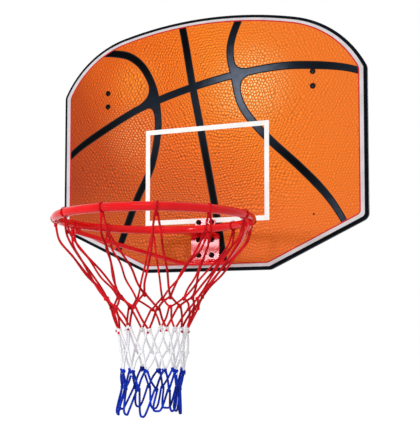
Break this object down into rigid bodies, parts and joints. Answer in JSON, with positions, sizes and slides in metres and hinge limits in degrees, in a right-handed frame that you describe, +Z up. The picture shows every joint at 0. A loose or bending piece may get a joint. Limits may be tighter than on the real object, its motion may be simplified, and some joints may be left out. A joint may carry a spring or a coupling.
{
  "type": "basketball backboard with rim and net",
  "caption": "Wall-mounted basketball backboard with an arched printed panel, a black edge moulding, a braced red steel rim and a knotted red, white and blue net.",
  "frame": {"origin": "on the wall plane at the panel's back, midway between the four upper wall holes", "axes": "+Z up, +Y into the wall, +X to the right of a player who faces the board"},
  "size_m": [0.71, 0.4716, 0.84],
  "materials": {
    "board": "raw fibreboard",
    "print": "satin printed film",
    "moulding": "semi-gloss black",
    "black_sleeve": "moulded black",
    "red_enamel": "gloss red enamel",
    "black_bolt": "black oxide",
    "zinc_nut": "zinc plated",
    "red_cord": "twisted synthetic cord",
    "white_cord": "twisted synthetic cord",
    "blue_cord": "twisted synthetic cord"
  },
  "bodies": {
    "root": {"backboard_panel": "board", "face_print": "print", "edge_trim": "moulding", "hole_sleeves": "black_sleeve", "bracket_plate": "red_enamel", "bracket_angle": "red_enamel", "rim_ring": "red_enamel", "brace_rod": "red_enamel", "shelf_weld": "red_enamel", "brace_rim_welds": "red_enamel", "brace_plate_welds": "red_enamel", "bracket_bolts": "black_bolt", "insert_nuts": "zinc_nut", "net_rim_loops": "red_cord", "net_red_1": "red_cord", "net_red_2": "red_cord", "net_red_3": "red_cord", "net_white_1": "white_cord", "net_white_2": "white_cord", "net_blue_1": "blue_cord", "net_blue_2": "blue_cord"}
  },
  "joints": []
}
